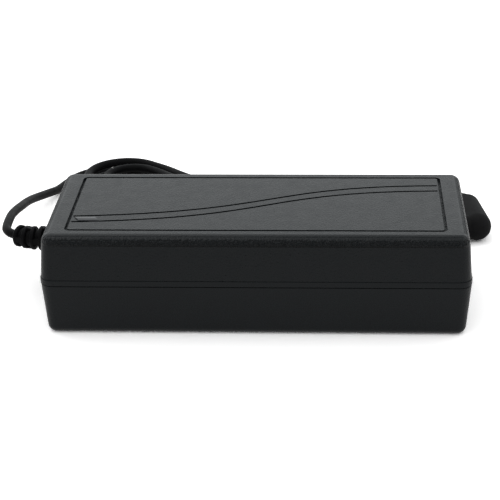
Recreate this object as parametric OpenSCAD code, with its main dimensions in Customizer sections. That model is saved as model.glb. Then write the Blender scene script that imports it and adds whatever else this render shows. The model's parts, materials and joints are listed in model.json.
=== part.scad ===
// Laptop power adapter: a two-shell case with a mains inlet, its circuit, and a captive low-voltage cord
// with a barrel plug.
// Millimetres. X runs along the case, Y towards its back, Z up. The origin is the middle of the case's base.

/* [Case] */
// Length of the case at its parting line
case_l = 130; // [129:1:150]
// Width of the case at its parting line
case_w = 56; // [56:1:70]
// Height of the lower shell, up to the parting line
lower_h = 16.6; // [16.2:0.1:18.6]
// Height of the upper shell, above the parting line
upper_h = 15.8; // [15.4:0.1:20]
// Wall thickness of both shells
wall = 2.2; // [1.8:0.1:2.4]
// Radius of the upright corners at the parting line
corner_r = 4; // [3.6:0.1:8]
// How far each wall of the lower shell leans in at the base
lower_draft = 1.25; // [0.4:0.05:1.4]
// How far each wall of the upper shell leans in at the top
upper_draft = 0.9; // [0.3:0.05:1.4]
// Radius along the top edge
top_edge_r = 2.8; // [1:0.1:3.4]
// Radius along the base edge
base_edge_r = 2.7; // [1:0.1:3]
// Height of the raised skirt along the upper shell's lower edge
skirt_h = 1.7; // [1:0.1:2.4]
// How far the skirt stands out
skirt_t = 0.1; // [0.1:0.05:0.3]
// Width and depth of the shadow line between the shells
reveal = 0.3; // [0.2:0.05:0.5]
// Height of the lower shell's tongue
tongue_h = 1.2; // [0.8:0.1:2]
// Thickness of the tongue
tongue_t = 0.9; // [0.6:0.1:1.1]
// Clearance between parts that fit together
fit_gap = 0.12; // [0.08:0.02:0.2]

/* [Top panel] */
// Distance from each end of the case to the outlined panel
panel_end = 8; // [7:0.5:14]
// Distance from the front and the back of the case to the outlined panel
panel_side = 6.2; // [6:0.1:8]
// Corner radius of the outline
panel_r = 1.3; // [1:0.1:4]
// Width of the outline and of the two curved grooves
groove_w = 0.95; // [0.5:0.05:1]
// Depth of the outline and of the two curved grooves
groove_d = 0.6; // [0.3:0.05:0.8]
// Space between a curved groove's end and the outline
curve_inset = 1.2; // [0.8:0.1:3]
// Distance from the panel's front outline to the rear curve's left end
curve_left = 10.9; // [10:0.1:13]
// Distance from the panel's rear outline to the rear curve's right end
curve_right = 6.8; // [5:0.1:9]
// Distance between the two curves
curve_gap = 4.5; // [4.3:0.1:6]

/* [Indicator] */
// Length of the indicator window, along its slanting ends' outermost corners
lens_l = 8; // [7:0.2:10]
// Width of the indicator window
lens_w = 2.7; // [2.6:0.1:2.9]
// How far the window's ends slant
lens_slant = 1.6; // [0:0.1:2]
// How far the window's crown stands above the case
lens_rise = 0.3; // [0.2:0.05:0.6]
// Distance from the panel's left outline to the window
lens_inset = 1.3; // [1.2:0.1:6]
// Diameter of the indicator lamp
lamp_d = 2.6; // [2:0.2:2.6]
// Height of the lamp's crown above the board
lamp_h = 10; // [8:0.5:14]

/* [Mains inlet] */
// Outside width of the inlet's body
inlet_w = 27.6; // [27:0.1:28]
// Outside height of the inlet's body
inlet_h = 19.6; // [19.2:0.1:20]
// Depth of the inlet's body
inlet_depth = 20; // [19:0.5:21]
// How far the inlet's face sits back from the case's end
inlet_recess = 0.8; // [0.6:0.1:1.4]
// Width of the socket
socket_w = 24.4; // [24:0.1:24.8]
// Height of the socket
socket_h = 16.4; // [16:0.1:16.8]
// Depth of the socket
socket_depth = 16; // [15:0.5:17]
// Size of the socket's two bevelled corners
socket_bevel = 5; // [4:0.5:6]
// Height of each contact blade
blade_h = 4; // [3.8:0.1:4.2]
// Thickness of each contact blade
blade_t = 2; // [1.9:0.1:2.1]
// Distance between the two live blades
blade_pitch = 14; // [13.8:0.1:14.2]
// Height of the earth blade's middle above the live blades' middles
earth_rise = 4; // [3.8:0.1:4.2]
// Length of the blades inside the socket
blade_reach = 14.5; // [13.5:0.5:15.5]

/* [Circuit] */
// Thickness of the circuit board
board_t = 1.6; // [1:0.1:1.6]
// Space between the board's edge and the case's wall
board_gap = 0.55; // [0.4:0.05:1]
// Space left between neighbouring components
comp_gap = 1.5; // [1.2:0.1:1.6]
// Space left between the board's edge and the components along it
edge_gap = 1; // [0.8:0.1:1.2]
// Space left between the filter choke and the inrush thermistor
choke_gap = 4.2; // [2:0.2:6]
// Length of board kept free of tall components at the cord's end
cord_room = 12; // [11:0.5:12]
// Thickness of the insulating sheet under the board
sheet_t = 0.4; // [0.2:0.05:0.8]
// Diameter of the posts that carry the board
post_d = 6; // [5:0.5:7]
// Diameter of the pins that locate the board
pin_d = 2; // [1.6:0.1:2.4]
// Thickness of the two heatsinks
heatsink_t = 1.6; // [1.2:0.1:2]
// Height of the two heatsinks
heatsink_h = 19; // [16:0.5:20]
// Diameter of the mains storage capacitor
bulk_d = 18; // [16:0.5:18]
// Length of the mains storage capacitor
bulk_l = 28; // [24:0.5:28]
// Length of the transformer's core
core_l = 25; // [23:0.5:25.5]
// Height of the transformer's core
core_h = 20; // [19:0.5:20.5]
// Thickness of the transformer's core
core_t = 12; // [10:0.5:13]
// Diameter of each output capacitor
out_cap_d = 10; // [8:0.5:10]
// Height of each output capacitor
out_cap_h = 20; // [16:0.5:20.5]
// Space left between neighbouring output capacitors
out_cap_gap = 1; // [0.6:0.1:1]

/* [Cord] */
// Diameter of the low-voltage cord
cord_d = 3; // [2.8:0.1:3]
// Diameter of the largest ring of the strain relief
relief_d = 8.2; // [7.4:0.1:8.6]
// How much smaller each ring is than the one before
relief_taper = 0.28; // [0:0.02:0.3]
// Diameter of the strain relief between its rings
relief_core_d = 5.5; // [4.8:0.1:5.8]
// Distance from one ring to the next
relief_pitch = 2.6; // [2.4:0.1:2.8]
// Width of each ring
relief_ring_w = 1.5; // [1.2:0.1:1.9]
// Size of the bevels along each ring's edges
relief_ring_edge = 0.35; // [0.1:0.05:0.5]
// Length of the strain relief outside the case
relief_l = 14.3; // [13.9:0.1:16]
// Front to back place of the strain relief
relief_y = 8.2; // [-10:0.1:10]
// Turn of the strain relief towards the back, in degrees
relief_turn = 4; // [0:1:10]
// Bend of the strain relief's outer half towards the back, in degrees
relief_bend = 26; // [10:1:30]
// Diameter of the strain relief's flange inside the case
relief_flange_d = 9; // [8.6:0.1:10]
// Thickness of that flange
relief_flange_t = 1.6; // [1.2:0.1:1.8]
// Width of the tie round the hank
tie_w = 3; // [2:0.5:3]
// Thickness of the tie
tie_t = 0.3; // [0.2:0.05:0.3]

/* [Plug] */
// Diameter of the plug's grip
grip_d = 9.8; // [9:0.1:9.8]
// Length of the grip behind its domed head
grip_l = 18.8; // [17.6:0.2:20]
// Radius of the grip's rear edge
grip_edge_r = 1.6; // [1:0.1:2.2]
// Outside diameter of the barrel
barrel_d = 5.5; // [5.4:0.05:5.6]
// Wall of the barrel's outer contact
barrel_t = 0.35; // [0.3:0.05:0.45]
// Length of the barrel outside its collar
barrel_l = 9.5; // [9:0.1:10]
// Diameter of the hole that takes the laptop's pin
pin_hole_d = 2.5; // [2.4:0.05:2.6]
// Wall of the inner contact
contact_t = 0.3; // [0.2:0.05:0.35]
// Diameter of the collar round the barrel's root
collar_d = 8; // [7.4:0.1:8.4]
// Length of the collar from the grip's middle
collar_l = 6.6; // [6:0.1:8]

/* [Hidden] */
$fn = 48;
edge_steps = 8;      // flats along a quarter round of the case
corner_fn = 32;      // flats round a full upright corner of the case
over = 1;            // how far a cut runs past the face that it opens
tiny = 0.3;          // clearance between a soft piece and what it lies against
sheet_notch = 1;     // clearance between the insulating sheet and each post
sheet_inset = 1;     // how far the insulating sheet's edges lie inside the board's

// Case
case_h = lower_h + upper_h;
ceiling = case_h - wall;
inner_l = case_l - 2 * wall;
inner_w = case_w - 2 * wall;
inner_edge_r = 0.4;
inner_corner_r = max(corner_r - wall, max(lower_draft, upper_draft) + inner_edge_r + 0.1);

// Board, hung from the inlet that stands on it
board_top = lower_h - inlet_h / 2;
board_z = board_top - board_t;
board_l = case_l - 2 * (wall + lower_draft + board_gap);
board_w = case_w - 2 * (wall + lower_draft + board_gap);
post_end = 4;
post_side = 3.2;
post_x = board_l / 2 - post_end;
post_y = board_w / 2 - post_side;
pin_rise = 0.8;
pin_top = board_top + pin_rise;
heat_inset = 1.2;
heat_y = board_w / 2 - heat_inset - heatsink_t;
heat_lip = 5;

// Inlet
inlet_front = case_l / 2 - inlet_recess;
inlet_back = inlet_front - inlet_depth;
socket_floor = inlet_front - socket_depth;
live_z = lower_h - earth_rise / 2;
blade_tail = 2.2;
inlet_collar = 1.3;
inlet_collar_x = case_l / 2 - wall - upper_draft;

// Components, in columns from the inlet towards the cord
side_in = 5;
side_gap = 1;
side_room = 0.7;
side_x = inlet_back + side_in;
side_y = inlet_w / 2 + side_gap;
fuse_d = board_w / 2 - side_y - side_room;
fuse_h = 8;
disc_d = 10;
disc_t = 4;
disc_lift = 1.5;
lead_d = 0.8;
thermistor_d = 8;
thermistor_t = 3.5;
xcap_t = 8;
xcap_h = 15;
ring_d = 17;
ring_hole = 9;
ring_t = 8;
wire_t = 0.9;
xcap_w = board_w - 2 * edge_gap - comp_gap - ring_d - 2 * wire_t - choke_gap - thermistor_t;
ycap_d = 8;
ycap_t = 4;
bridge_w = 17;
bridge_t = 3.8;
bridge_h = 14;
to220_w = 10;
to220_t = 4.5;
to220_h = 14;
chip_l = 9.6;
chip_w = 6.4;
chip_h = 3.5;
chip_room = 2;
can_edge = 0.5;
heat_margin = 1;
column_b = inlet_back - blade_tail - comp_gap;
column_c = column_b - ring_t - 2 * wire_t - comp_gap;
column_d = column_c - bulk_d - comp_gap;
column_e = column_d - core_l - comp_gap;
front_y = edge_gap - board_w / 2;
cord_side = cord_room - board_l / 2;

// Transformer
core_leg = 3.9;
core_window = 5.2;
core_mid = core_l - 2 * (core_leg + core_window);
core_yoke = 4.5;
bobbin_t = 0.8;
winding_t = 3.3;
winding_in = 0.4;
winding_out = fit_gap + bobbin_t + winding_t;
core_x = column_d - core_l / 2;
core_y = 1;

// Output side
out_cap_pitch = out_cap_d + out_cap_gap;
out_cap_y = -6;
out_caps = floor((column_e - cord_side + out_cap_gap) / out_cap_pitch);
rod_d = 6;
rod_h = 18;
rod_in = 3;
rod_wire_t = 1.5;
rod_wire_in = 1.5;
rod_y = out_cap_y + out_cap_d / 2 + 3 * rod_wire_t + rod_d / 2 + rod_wire_in;
lead_wire_d = 1.6;
lead_bend_r = 4;

// Indicator window and the curved grooves, as cubic curves from a left end to a right end.
// Each handle is a share of the way from one end to the other, along and across the panel.
panel_l = case_l - 2 * panel_end;
panel_w = case_w - 2 * panel_side;
rear_left = [curve_inset - panel_l / 2, curve_left - panel_w / 2];
rear_right = [panel_l / 2 - curve_inset, panel_w / 2 - curve_right];
curve_span = rear_right - rear_left;
front_left = rear_left - [0, curve_gap];
front_right = rear_right - [0, curve_gap];
rear_curve = [rear_left, rear_left + share(0.57, 0.15), rear_right - share(0.486, 0.03), rear_right];
front_curve = [front_left, front_left + share(0.562, 0.115), front_right - share(0.5, 0.04), front_right];
curve_steps = 24;
lens_x = -panel_l / 2 + lens_inset + lens_l / 2;
lens_y = rear_left[1] - curve_gap / 2;
lens_flange = 0.8;
lens_crown = 0.15;
lens_crown_r = (pow(lens_w / 2, 2) + pow(lens_crown, 2)) / (2 * lens_crown);

// Strain relief
relief_hole_r = 3.1;
relief_step = 0.5;
relief_start = 1.75;
relief_web = 1.8;
relief_seat = wall + lower_draft * relief_flange_d / 2 / (lower_h - wall);
relief_inner_x = -case_l / 2 + relief_seat + relief_flange_t;
relief_tip_r = 2;
relief_tip_l = 1.2;
relief_straight = 6.5;
relief_bend_r = (relief_l - relief_tip_l - relief_straight) / relief_bend * 180 / PI;
relief_tip_x = relief_straight + relief_bend_r * sin(relief_bend) + relief_tip_l * cos(relief_bend);
relief_tip_y = relief_bend_r * (1 - cos(relief_bend)) + relief_tip_l * sin(relief_bend);
relief_rings = floor((relief_l - relief_start - relief_ring_w) / relief_pitch) + 1;
relief_root = [-case_l / 2, relief_y, lower_h];
relief_side = [sin(relief_turn), cos(relief_turn), 0];
relief_out = [-cos(relief_turn), sin(relief_turn), 0];
relief_tip = relief_root + relief_tip_x * relief_out + relief_tip_y * relief_side;
relief_way = [-cos(relief_turn + relief_bend), sin(relief_turn + relief_bend), 0];

// Hank: loops that spiral in and out, a layer higher each time the spiral turns back
cord_r = cord_d / 2;
rest_z = cord_r + 0.05;
hank_place = [-38.4, 66.9];
hank_turn = -39.4;
hank_inner_r = 8.5;
hank_step = 3.85;
hank_half_run = 18.6;
hank_waist = 3;
hank_layer = 3.6;
hank_lean = [2.4, -0.6]; // how far each layer lies from the one below
hank_lift = 0.9;
hank_start = -0.125;
hank_end = 6.125;
hank_rings = 24;
hank_sides = 6;
climbs = [1.5, 3, 4.5];
tie_u = 10;
tie_gap = 0.02; // the tie lies this close to the floor and to the top strand

// Plug: where the middle of its domed head lies, and the way its grip and its barrel run
plug_head = [72.3, 47.5, grip_d / 2];
plug_turn = 98.3;
plug_relief_r = 6.5;
plug_relief_angle = 75;
plug_relief_core = 2.5;
plug_relief_tip = 2.5;
plug_rings = 4;
plug_ring_r = 3.8;
plug_ring_taper = 0.25;
plug_ring_w = 1.5;
plug_relief_way = unit2(plug_turn + plug_relief_angle);
plug_relief_end = grip_l * unit2(plug_turn) + plug_relief_r * (
  sin(plug_relief_angle) * unit2(plug_turn) + (1 - cos(plug_relief_angle)) * unit2(plug_turn + 90)
) + plug_relief_tip * plug_relief_way;
plug_cord_way = [-plug_relief_way[0], -plug_relief_way[1], 0];
plug_cord_end = plug_head + [plug_relief_end[0], plug_relief_end[1], 0];
barrel_end = collar_l + barrel_l;
barrel_root_d = barrel_d + 1;

// Routes of the cord's free stretches
tube_sides = 8;
tube_steps = 2;
lead_route = concat([relief_tip, relief_tip + cord_r * relief_way], [
  [-81.6, 13.2, 16.6], [-83, 15.8, 16.6], [-83.6, 19.5, 16.4], [-84, 25, 16], [-84.5, 32, 15],
  [-84.5, 40, 13.5], [-84.5, 49, 11.3], [-84.5, 57.5, 9.2], [-84, 66, 7], [-82.5, 74, 5],
  [-80.5, 81.5, 3.3], [-78.5, 88, 2], [-76.5, 95, 1.6], [-73.5, 102, 1.6], [-68.5, 107, 1.6],
  [-62.5, 108, 1.6], [-57, 105, 1.6]
], [hank_point(hank_start) - 3 * cord_r * hank_way(), hank_point(hank_start) - cord_d * hank_way()]);
tail_route = concat([
  hank_point(hank_end) + cord_d * hank_way(), hank_point(hank_end) + 3 * cord_r * hank_way()
], [
  [2.4, 50.2, 11.4], [7.8, 47.4, 9], [13.8, 46.2, 5.8], [20.2, 47.2, 3], [26.8, 50.6, 1.7],
  [33.2, 55.4, 1.6], [39.4, 60.9, 1.6], [45.5, 66.6, 1.6], [50.8, 70.7, 2.9], [55.6, 72.4, 4.4]
], [plug_cord_end - cord_r * plug_cord_way, plug_cord_end]);

// ---- Shared functions ----

function unit2(angle) = [cos(angle), sin(angle)];
function unit(v) = v / norm(v);
// So much of the way between a groove's ends, along and across the panel
function share(along, across) = [along * curve_span[0], across * curve_span[1]];
function ease(x) = let (c = min(1, max(0, x))) c * c * (3 - 2 * c);

// A point on a cubic curve with end points c[0] and c[3]
function cubic(c, s) =
  pow(1 - s, 3) * c[0] + 3 * pow(1 - s, 2) * s * c[1] + 3 * (1 - s) * s * s * c[2] + pow(s, 3) * c[3];
function cubic_way(c, s) =
  unit(pow(1 - s, 2) * (c[1] - c[0]) + 2 * (1 - s) * s * (c[2] - c[1]) + s * s * (c[3] - c[2]));

// A smooth line through the points of a route, with steps points a stretch.
// Its first and last stretches are straight.
function through(p0, p1, p2, p3, s) = 0.5 * (
  2 * p1 + (p2 - p0) * s + (2 * p0 - 5 * p1 + 4 * p2 - p3) * s * s
  + (3 * p1 - p0 - 3 * p2 + p3) * s * s * s
);
function smooth(route, steps) = let (last = len(route) - 1) concat(
  [route[0]],
  [for (i = [1:last - 2]) for (k = [0:steps - 1])
    through(route[i - 1], route[i], route[i + 1], route[i + 2], k / steps)],
  [route[last - 1], route[last]]
);
function path_length(points) = let (
  steps = [for (i = [1:len(points) - 1]) norm(points[i] - points[i - 1])]
) steps * [for (s = steps) 1];

// ---- The hank's path ----
// One turn runs along the far side, round the near fold, back along the near side and round the far fold.

// Distance in turns from the nearest inner reversal of the spiral
function hank_out(t) = min(abs(t - 1.5), abs(t - 4.5));
function hank_radius(t) = hank_inner_r + hank_step * hank_out(t);
function hank_phase(t) = t - floor(t + 0.125);
// Along a run, from -1 at one fold to 1 at the other
function hank_along(t) = let (ph = hank_phase(t))
  ph < 0.125 ? ph / 0.125 : ph < 0.375 ? 1 : ph < 0.625 ? (0.5 - ph) / 0.125 : -1;
function hank_run(t) = hank_half_run + hank_radius(t) - hank_inner_r;
// How much of the waist's draw applies, so far along the hank
function hank_bow(u) = abs(u) < hank_half_run ? pow(cos(90 * u / hank_half_run), 2) : 0;
function hank_flat(t) = let (
  r = hank_radius(t), a = hank_run(t), ph = hank_phase(t), u = a * hank_along(t),
  near_angle = 90 - 180 * (ph - 0.125) / 0.25, far_angle = -90 - 180 * (ph - 0.625) / 0.25
)
  ph < 0.125 ? [u, r - hank_waist * hank_bow(u)] :
  ph < 0.375 ? [a + r * cos(near_angle), r * sin(near_angle)] :
  ph < 0.625 ? [u, hank_waist * hank_bow(u) - r] :
  [r * cos(far_angle) - a, r * sin(far_angle)];
function hank_layers(t) = [for (c = climbs) ease((t - c + 0.125) / 0.25)] * [for (c = climbs) 1];
function hank_height(t) =
  rest_z + hank_lift * hank_bow(hank_run(t) * hank_along(t)) + hank_layer * hank_layers(t);
function hank_way() = [cos(hank_turn), sin(hank_turn), 0];
function hank_point(t) = let (f = hank_flat(t) + hank_layers(t) * hank_lean) [
  hank_place[0] + f[0] * cos(hank_turn) - f[1] * sin(hank_turn),
  hank_place[1] + f[0] * sin(hank_turn) + f[1] * cos(hank_turn),
  hank_height(t)
];
function hank_path() = let (last = round((hank_end - hank_start) * hank_rings)) concat(
  [hank_point(hank_start) - cord_d * hank_way()],
  [for (i = [0:last]) hank_point(hank_start + i / hank_rings)],
  [hank_point(hank_end) + cord_d * hank_way()]
);
function segment_distance(p, a, b) = let (
  s = min(1, max(0, (p - a) * (b - a) / ((b - a) * (b - a))))
) norm(p - a - s * (b - a));
// The least clear space between the tube's turns, leaving out the rings beside each ring
function self_gap(points, d, beside) = min([
  for (i = [0:len(points) - 1]) for (k = [i + beside:1:len(points) - 2])
    segment_distance(points[i], points[k], points[k + 1])
]) - d;

// ---- Shared shapes ----

// A rounded rectangle, centred
module plate(l, w, r) {
  square([l - 2 * r, w], center = true);
  square([l, w - 2 * r], center = true);
  for (x = [r - l / 2, l / 2 - r], y = [r - w / 2, w / 2 - r]) translate([x, y]) circle(r);
}

// A block that stands on its largest face, with leaning walls and a rounded far edge.
// It starts below that face by the extra depth.
module shell_block(l, w, h, r, lean, edge_r, extra = 0) {
  edge = min(edge_r, r - lean - 0.05);
  profile = concat(
    [[0, -extra], [r, -extra], [r, 0]],
    [for (i = [0:edge_steps]) [r - lean - edge, h - edge] + edge * unit2(90 * i / edge_steps)],
    [[0, h]]
  );
  hull() for (x = [r - l / 2, l / 2 - r], y = [r - w / 2, w / 2 - r])
    translate([x, y, 0]) rotate_extrude($fn = corner_fn) polygon(profile);
}

// The ring between two rounded rectangles that follow the case, each set in by so much
module rim(outer_in, inner_in, h) {
  linear_extrude(h) difference() {
    plate(case_l - 2 * outer_in, case_w - 2 * outer_in, corner_r - outer_in);
    plate(case_l - 2 * inner_in, case_w - 2 * inner_in, corner_r - inner_in);
  }
}

// A round tube along points, with flat ends square to the path
module tube(points, r, sides) {
  last = len(points) - 1;
  way = [for (i = [0:last]) unit(points[min(i + 1, last)] - points[max(i - 1, 0)])];
  side = [for (t = way) unit(cross(t, [0, 0, 1]))];
  rings = [for (i = [0:last]) for (k = [0:sides - 1]) let (a = 360 * (k + 0.5) / sides)
    points[i] + r * (cos(a) * side[i] + sin(a) * cross(side[i], way[i]))];
  walls = [for (i = [0:last - 1]) for (k = [0:sides - 1]) let (
    a = i * sides + k, b = i * sides + (k + 1) % sides
  ) each [[a, b, b + sides], [a, b + sides, a + sides]]];
  caps = [for (k = [1:sides - 2]) each [[0, k + 1, k], last * sides * [1, 1, 1] + [0, k, k + 1]]];
  polyhedron(rings, concat(walls, caps));
}

// A point beside a cubic curve, so far from it and turned so far from its left side towards its way
function beside(c, s, angle, far) = let (way = cubic_way(c, s))
  cubic(c, s) + far * (cos(angle) * [-way[1], way[0]] + sin(angle) * way);

// A groove along a cubic curve, with round ends, seen from above
module curve_outline(c, w) {
  steps = [for (i = [0:curve_steps]) i / curve_steps];
  polygon(concat(
    [for (s = steps) beside(c, s, 0, w / 2)],
    [for (a = [30:30:150]) beside(c, 1, a, w / 2)],
    [for (s = steps) beside(c, 1 - s, 180, w / 2)],
    [for (a = [210:30:330]) beside(c, 0, a, w / 2)]
  ));
}

// A radial component's two leads, a distance apart
module two_leads(pitch, h) {
  for (x = [-pitch / 2, pitch / 2]) translate([x, 0, 0]) cylinder(h = h, d = lead_d);
}

// A disc that stands on two leads, its flat sides facing front and back
module standing_disc(d, t) {
  translate([0, 0, disc_lift + d / 2]) rotate([90, 0, 0]) cylinder(h = t, d = d, center = true);
  two_leads(d / 2, disc_lift + 1);
}

// A power package that stands with its tab's back on y = 0
module power_package() {
  tab_t = 1.3;
  plastic_h = 9;
  lead_h = 3;
  lead_pitch = 2.54;
  lead_t = 0.6;
  translate([-to220_w / 2, -tab_t, lead_h]) cube([to220_w, tab_t, to220_h]);
  translate([-to220_w / 2, -to220_t, lead_h]) cube([to220_w, to220_t - tab_t, plastic_h]);
  for (x = [-lead_pitch, 0, lead_pitch]) translate([x, -to220_t / 2, lead_h / 2])
    cube([lead_d, lead_t, lead_h], center = true);
}

// An upright plate with a foot turned towards the front along its top
module heatsink(from_x, to_x) {
  translate([from_x, heat_y, board_top]) cube([to_x - from_x, heatsink_t, heatsink_h]);
  translate([from_x, heat_y - heat_lip, board_top + heatsink_h - heatsink_t])
    cube([to_x - from_x, heat_lip, heatsink_t]);
}

// A wound capacitor's can, standing on its end, with a crimped groove and a bevelled far edge
module can(d, l, crimp, groove) {
  r = d / 2;
  rotate_extrude() polygon([
    [0, 0], [r - can_edge, 0], [r, can_edge], [r, crimp], [r - groove, crimp + groove],
    [r, crimp + 2 * groove], [r, l - can_edge], [r - can_edge, l], [0, l]
  ]);
}

module at_posts() {
  for (x = [-post_x, post_x], y = [-post_y, post_y]) translate([x, y, 0]) children();
}

module inlet_opening() {
  w = inlet_w + 2 * fit_gap;
  h = inlet_h + 2 * fit_gap;
  translate([inlet_collar_x, -w / 2, lower_h - h / 2]) cube([wall + upper_draft + over, w, h]);
}

module relief_opening() {
  translate([-case_l / 2 - over, relief_y, lower_h]) rotate([0, 90, 0])
    cylinder(h = over + relief_seat + over, r = relief_hole_r + fit_gap);
}

module lens_outline(extra = 0) {
  l = lens_l / 2 + extra;
  w = lens_w / 2 + extra;
  polygon([[lens_slant - l, -w], [l, -w], [l - lens_slant, w], [-l, w]]);
}

// ---- Case ----

module top_cover() color([0.2, 0.2, 0.21]) difference() {
  union() {
    difference() {
      union() {
        translate([0, 0, lower_h])
          shell_block(case_l, case_w, upper_h, corner_r, upper_draft, top_edge_r);
        translate([0, 0, lower_h]) linear_extrude(skirt_h)
          plate(case_l + 2 * skirt_t, case_w + 2 * skirt_t, corner_r + skirt_t);
      }
      translate([0, 0, lower_h])
        shell_block(inner_l, inner_w, upper_h - wall, inner_corner_r, upper_draft, inner_edge_r, over);
      translate([0, 0, lower_h - over])
        rim(wall - tongue_t - fit_gap, wall + over, over + tongue_h + fit_gap);
    }
    at_posts() translate([0, 0, board_top]) cylinder(h = ceiling - board_top + wall / 2, d = post_d - 1);
  }
  at_posts() translate([0, 0, board_top - over])
    cylinder(h = over + pin_top - board_top + fit_gap, d = pin_d + 2 * fit_gap);
  translate([0, 0, case_h - groove_d]) linear_extrude(groove_d + over) {
    difference() {
      plate(panel_l + groove_w, panel_w + groove_w, panel_r + groove_w / 2);
      plate(panel_l - groove_w, panel_w - groove_w, panel_r - groove_w / 2);
    }
    curve_outline(rear_curve, groove_w);
    curve_outline(front_curve, groove_w);
  }
  translate([lens_x, lens_y, ceiling - over]) linear_extrude(wall + 2 * over) lens_outline(fit_gap);
  inlet_opening();
  relief_opening();
}

module bottom_cover() color([0.17, 0.17, 0.18]) difference() {
  union() {
    difference() {
      translate([0, 0, lower_h]) mirror([0, 0, 1])
        shell_block(case_l, case_w, lower_h, corner_r, lower_draft, base_edge_r);
      translate([0, 0, lower_h]) mirror([0, 0, 1])
        shell_block(inner_l, inner_w, lower_h - wall, inner_corner_r, lower_draft, inner_edge_r, over);
      translate([0, 0, lower_h - reveal]) rim(-over, reveal, reveal + over);
    }
    translate([0, 0, lower_h - wall]) rim(wall - tongue_t, wall, wall + tongue_h);
    at_posts() translate([0, 0, wall / 2]) cylinder(h = board_z - wall / 2, d = post_d);
    at_posts() translate([0, 0, wall / 2]) cylinder(h = pin_top - wall / 2, d = pin_d);
  }
  inlet_opening();
  relief_opening();
}

// ---- Indicator ----

module indicator_window() color([0.55, 0.57, 0.58]) union() {
  translate([lens_x, lens_y, 0]) intersection() {
    translate([0, 0, ceiling - lens_flange]) linear_extrude(wall + lens_flange + lens_rise)
      lens_outline();
    translate([0, 0, case_h + lens_rise - lens_crown_r]) rotate([0, 90, 0])
      cylinder(h = 2 * lens_l, r = lens_crown_r, center = true);
  }
  translate([lens_x, lens_y, ceiling - lens_flange]) linear_extrude(lens_flange) lens_outline(lens_flange);
  translate([lens_x, lens_y, board_top + lamp_h + tiny])
    cylinder(h = ceiling - lens_flange - board_top - lamp_h, d = lamp_d);
}

module indicator_lamp() color([0.5, 0.75, 0.5]) translate([lens_x, lens_y, board_top]) {
  rim_t = 1;
  rim_out = 0.4;
  stand = 4;
  body = lamp_h - lamp_d / 2 - stand;
  two_leads(lamp_d / 2, stand + rim_t / 2);
  translate([0, 0, stand]) cylinder(h = rim_t, d = lamp_d + 2 * rim_out);
  translate([0, 0, stand]) cylinder(h = body, d = lamp_d);
  translate([0, 0, stand + body]) sphere(d = lamp_d);
}

// ---- Mains inlet ----

module socket_outline() {
  w = socket_w / 2;
  h = socket_h / 2;
  bevel = socket_bevel;
  polygon([[-w, -h], [w, -h], [w, h - bevel], [w - bevel, h], [bevel - w, h], [-w, h - bevel]]);
}

// A blade's place: its distance along the case's end and the height of its middle
blade_places = [[-blade_pitch / 2, live_z], [blade_pitch / 2, live_z], [0, live_z + earth_rise]];

module inlet_body() color([0.1, 0.1, 0.1]) difference() {
  union() {
    translate([inlet_back, -inlet_w / 2, board_top]) cube([inlet_depth, inlet_w, inlet_h]);
    translate([inlet_collar_x - inlet_collar - fit_gap, -inlet_w / 2 - inlet_collar, board_top])
      cube([inlet_collar, inlet_w + 2 * inlet_collar, inlet_h + inlet_collar]);
  }
  translate([socket_floor, 0, lower_h]) rotate([90, 0, 90]) linear_extrude(socket_depth + over)
    socket_outline();
  for (b = blade_places) translate([inlet_back - over, b[0] - blade_t / 2, b[1] - blade_h / 2])
    cube([inlet_depth, blade_t, blade_h]);
}

module inlet_blades() color([0.75, 0.76, 0.78]) for (b = blade_places) {
  tail_t = 1;
  translate([inlet_back - blade_tail, b[0] - blade_t / 2, b[1] - blade_h / 2])
    cube([socket_floor + blade_reach - inlet_back + blade_tail, blade_t, blade_h]);
  translate([inlet_back - blade_tail, b[0] - blade_t / 2, board_top])
    cube([tail_t, blade_t, b[1] - board_top]);
}

// ---- Circuit ----

module insulation_sheet() color([0.85, 0.83, 0.7]) translate([0, 0, wall]) linear_extrude(sheet_t)
difference() {
  square([board_l - 2 * sheet_inset, board_w - 2 * sheet_inset], center = true);
  at_posts() square(post_d + 2 * sheet_notch, center = true);
}

module circuit_board() color([0.25, 0.4, 0.2]) translate([0, 0, board_z]) linear_extrude(board_t)
difference() {
  square([board_l, board_w], center = true);
  at_posts() circle(d = pin_d + 2 * fit_gap);
}

module mains_fuse() color([0.25, 0.15, 0.1]) translate([side_x, -side_y - fuse_d / 2, board_top])
  cylinder(h = fuse_h, d = fuse_d);

module surge_varistor() color([0.2, 0.35, 0.7]) translate([side_x, side_y + disc_t / 2, board_top])
  standing_disc(disc_d, disc_t);

module inrush_thermistor() color([0.15, 0.35, 0.2])
  translate([column_b - ring_t / 2, board_w / 2 - edge_gap - thermistor_t / 2, board_top])
    standing_disc(thermistor_d, thermistor_t);

module x_capacitor() color([0.8, 0.65, 0.2]) translate([column_b - xcap_t, front_y, board_top])
  cube([xcap_t, xcap_w, xcap_h]);

// The filter choke's ring stands on edge, its axis along the case
module at_filter_choke() {
  y = front_y + xcap_w + comp_gap + wire_t + ring_d / 2;
  translate([column_b - wire_t - ring_t / 2, y, board_top + ring_d / 2]) rotate([0, 90, 0]) children();
}

module filter_choke_core() color([0.3, 0.3, 0.3]) at_filter_choke() rotate_extrude()
  translate([ring_hole / 2, -ring_t / 2]) square([(ring_d - ring_hole) / 2, ring_t]);

module filter_choke_windings() color([0.72, 0.4, 0.2]) at_filter_choke() for (turn = [40, 220])
  rotate([0, 0, turn]) rotate_extrude(angle = 100) difference() {
    translate([ring_hole / 2 - wire_t, -ring_t / 2 - wire_t])
      square([(ring_d - ring_hole) / 2 + 2 * wire_t, ring_t + 2 * wire_t]);
    translate([ring_hole / 2, -ring_t / 2]) square([(ring_d - ring_hole) / 2, ring_t]);
  }

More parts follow.
